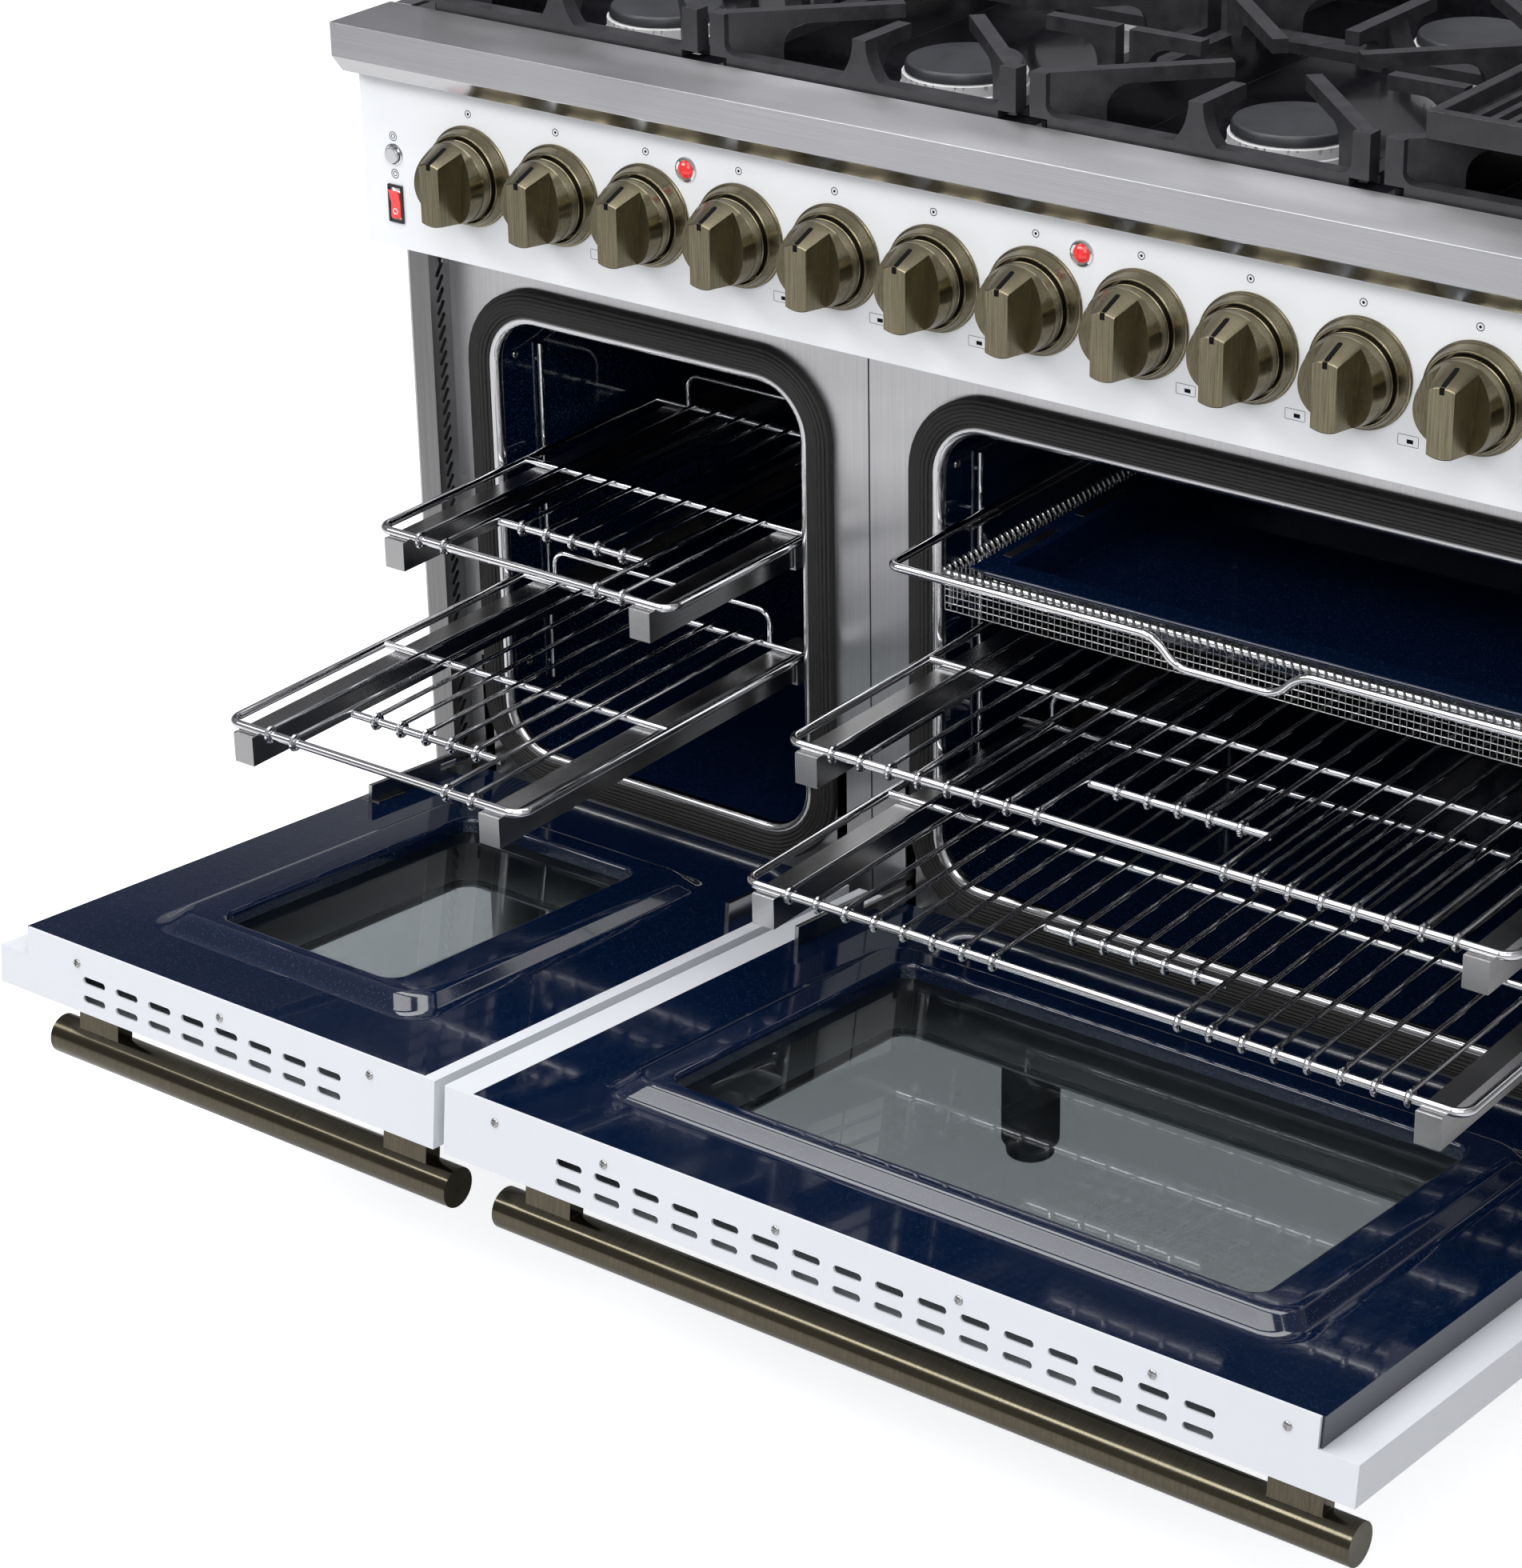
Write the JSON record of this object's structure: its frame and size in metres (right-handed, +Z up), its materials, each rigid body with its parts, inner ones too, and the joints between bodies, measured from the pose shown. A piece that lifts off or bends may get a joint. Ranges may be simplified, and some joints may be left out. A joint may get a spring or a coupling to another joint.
{
  "type": "freestanding gas range",
  "caption": "Wide freestanding gas range with open drop-down oven doors, pulled-out wire racks, cast grates, a grill plate and a row of turn knobs.",
  "frame": {"origin": "on the floor, under the middle of the range's box with its doors open", "axes": "+X to the cook's right along the width, +Y to the back wall, +Z up"},
  "size_m": [1.216, 1.1586, 0.9504],
  "materials": {
    "stainless": "brushed",
    "white_enamel": "gloss",
    "antique_brass": "brushed antique",
    "blue_enamel": "gloss",
    "cast_iron": "matt enamel",
    "black_enamel": "gloss",
    "aluminium": "cast",
    "chrome_wire": "polished",
    "plain_steel": "plain",
    "galvanised": "galvanised",
    "leg_steel": "brushed",
    "gasket": "braided",
    "glass": "clear",
    "red_plastic": "gloss",
    "black_plastic": "satin",
    "valve_brass": "machined"
  },
  "bodies": {
    "chassis": {"front_ledge": "stainless", "face_frame": "stainless", "front_columns": "stainless", "rear_trim": "stainless", "side_panels": "stainless", "control_panel": "white_enamel", "kick_plate": "white_enamel", "knob_bezels": "antique_brass", "left_oven_cavity": "blue_enamel", "right_oven_cavity": "blue_enamel", "burner_caps": "cast_iron", "drip_pan": "black_enamel", "burner_heads": "aluminium", "gas_manifold": "aluminium", "rack_ladders": "chrome_wire", "rack_runners": "plain_steel", "hinge_ears": "plain_steel", "oven_burners": "plain_steel", "back_panel": "galvanised", "base_tray": "galvanised", "legs": "leg_steel", "oven_gaskets": "gasket", "indicator_lights": "red_plastic", "switch_frame": "black_plastic", "gas_valves": "valve_brass"},
    "left_door": {"left_door_shell": "white_enamel", "left_door_liner": "blue_enamel", "left_door_glass": "glass", "left_door_handle": "antique_brass", "left_door_hinge_arms": "plain_steel"},
    "right_door": {"right_door_shell": "white_enamel", "right_door_liner": "blue_enamel", "right_door_glass": "glass", "right_door_handle": "antique_brass", "right_door_hinge_arms": "plain_steel"},
    "left_upper_rack": {"left_upper_rack": "chrome_wire"},
    "left_lower_rack": {"left_lower_rack": "chrome_wire"},
    "right_upper_rack": {"right_upper_rack": "chrome_wire"},
    "right_lower_rack": {"right_lower_rack": "chrome_wire"},
    "air_fry_basket": {"air_fry_basket": "chrome_wire"},
    "air_fry_tray": {"air_fry_tray": "blue_enamel"},
    "knob_01": {"knob_01": "antique_brass"},
    "knob_02": {"knob_02": "antique_brass"},
    "knob_03": {"knob_03": "antique_brass"},
    "knob_04": {"knob_04": "antique_brass"},
    "knob_05": {"knob_05": "antique_brass"},
    "knob_06": {"knob_06": "antique_brass"},
    "knob_07": {"knob_07": "antique_brass"},
    "knob_08": {"knob_08": "antique_brass"},
    "knob_09": {"knob_09": "antique_brass"},
    "knob_10": {"knob_10": "antique_brass"},
    "knob_11": {"knob_11": "antique_brass"},
    "knob_12": {"knob_12": "antique_brass"},
    "light_button": {"light_button": "chrome_wire"},
    "rocker_switch": {"rocker_switch": "red_plastic"},
    "grate_1": {"grate_1": "cast_iron"},
    "grate_2": {"grate_2": "cast_iron"},
    "grate_3": {"grate_3": "cast_iron"},
    "grate_4": {"grate_4": "cast_iron"},
    "grill_plate": {"grill_plate": "cast_iron"}
  },
  "joints": [
    {"name": "left_door_hinge", "type": "hinge", "parent": "chassis", "child": "left_door", "pos_m": [0, -0.08108, 0.1875], "axis": [-1, 0, 0], "range_deg": [0, 83.94]},
    {"name": "right_door_hinge", "type": "hinge", "parent": "chassis", "child": "right_door", "pos_m": [0, -0.08108, 0.1875], "axis": [-1, 0, 0], "range_deg": [0, 83.94]},
    {"name": "left_upper_rack_slide", "type": "slide", "parent": "chassis", "child": "left_upper_rack", "axis": [0, 1, 0], "range_m": [0, 0.2755]},
    {"name": "left_lower_rack_slide", "type": "slide", "parent": "chassis", "child": "left_lower_rack", "axis": [0, 1, 0], "range_m": [0, 0.4565]},
    {"name": "right_upper_rack_slide", "type": "slide", "parent": "chassis", "child": "right_upper_rack", "axis": [0, 1, 0], "range_m": [0, 0.3235]},
    {"name": "right_lower_rack_slide", "type": "slide", "parent": "chassis", "child": "right_lower_rack", "axis": [0, 1, 0], "range_m": [0, 0.3795]},
    {"name": "air_fry_basket_slide", "type": "slide", "parent": "chassis", "child": "air_fry_basket", "axis": [0, 1, 0], "range_m": [0, 0.1905]},
    {"name": "air_fry_tray_lift", "type": "slide", "parent": "air_fry_basket", "child": "air_fry_tray", "axis": [0, 0, 1], "range_m": [0, 0.04]},
    {"name": "knob_01_turn", "type": "hinge", "parent": "chassis", "child": "knob_01", "pos_m": [-0.49115, -0.10718, 0.766], "axis": [0, -1, 0], "range_deg": [0, 270]},
    {"name": "knob_02_turn", "type": "hinge", "parent": "chassis", "child": "knob_02", "pos_m": [-0.40185, -0.10718, 0.766], "axis": [0, -1, 0], "range_deg": [0, 270]},
    {"name": "knob_03_turn", "type": "hinge", "parent": "chassis", "child": "knob_03", "pos_m": [-0.31255, -0.10718, 0.766], "axis": [0, -1, 0], "range_deg": [0, 270]},
    {"name": "knob_04_turn", "type": "hinge", "parent": "chassis", "child": "knob_04", "pos_m": [-0.22325, -0.10718, 0.766], "axis": [0, -1, 0], "range_deg": [0, 270]},
    {"name": "knob_05_turn", "type": "hinge", "parent": "chassis", "child": "knob_05", "pos_m": [-0.13395, -0.10718, 0.766], "axis": [0, -1, 0], "range_deg": [0, 270]},
    {"name": "knob_06_turn", "type": "hinge", "parent": "chassis", "child": "knob_06", "pos_m": [-0.04465, -0.10718, 0.766], "axis": [0, -1, 0], "range_deg": [0, 270]},
    {"name": "knob_07_turn", "type": "hinge", "parent": "chassis", "child": "knob_07", "pos_m": [0.04465, -0.10718, 0.766], "axis": [0, -1, 0], "range_deg": [0, 270]},
    {"name": "knob_08_turn", "type": "hinge", "parent": "chassis", "child": "knob_08", "pos_m": [0.13395, -0.10718, 0.766], "axis": [0, -1, 0], "range_deg": [0, 270]},
    {"name": "knob_09_turn", "type": "hinge", "parent": "chassis", "child": "knob_09", "pos_m": [0.22325, -0.10718, 0.766], "axis": [0, -1, 0], "range_deg": [0, 270]},
    {"name": "knob_10_turn", "type": "hinge", "parent": "chassis", "child": "knob_10", "pos_m": [0.31255, -0.10718, 0.766], "axis": [0, -1, 0], "range_deg": [0, 270]},
    {"name": "knob_11_turn", "type": "hinge", "parent": "chassis", "child": "knob_11", "pos_m": [0.40185, -0.10718, 0.766], "axis": [0, -1, 0], "range_deg": [0, 270]},
    {"name": "knob_12_turn", "type": "hinge", "parent": "chassis", "child": "knob_12", "pos_m": [0.49115, -0.10718, 0.766], "axis": [0, -1, 0], "range_deg": [0, 270]},
    {"name": "light_button_press", "type": "slide", "parent": "chassis", "child": "light_button", "axis": [0, 1, 0], "range_m": [0, 0.003], "stiffness_N_per_m": 400},
    {"name": "rocker_switch_tip", "type": "hinge", "parent": "chassis", "child": "rocker_switch", "pos_m": [-0.572, -0.10718, 0.7294], "axis": [-1, 0, 0], "range_deg": [0, 12]},
    {"name": "grate_1_lift", "type": "slide", "parent": "chassis", "child": "grate_1", "axis": [0, 0, 1], "range_m": [0, 0.06]},
    {"name": "grate_2_lift", "type": "slide", "parent": "chassis", "child": "grate_2", "axis": [0, 0, 1], "range_m": [0, 0.06]},
    {"name": "grate_3_lift", "type": "slide", "parent": "chassis", "child": "grate_3", "axis": [0, 0, 1], "range_m": [0, 0.06]},
    {"name": "grate_4_lift", "type": "slide", "parent": "chassis", "child": "grate_4", "axis": [0, 0, 1], "range_m": [0, 0.06]},
    {"name": "grill_plate_lift", "type": "slide", "parent": "grate_4", "child": "grill_plate", "axis": [0, 0, 1], "range_m": [0, 0.06]}
  ],
  "couplings": [
    {"joint": "left_upper_rack_slide", "follows": "left_door_hinge", "m_per_rad": 0.18771},
    {"joint": "left_lower_rack_slide", "follows": "left_door_hinge", "m_per_rad": 0.31126},
    {"joint": "right_upper_rack_slide", "follows": "right_door_hinge", "m_per_rad": 0.22047},
    {"joint": "right_lower_rack_slide", "follows": "right_door_hinge", "m_per_rad": 0.2587},
    {"joint": "air_fry_basket_slide", "follows": "right_door_hinge", "m_per_rad": 0.12969}
  ]
}
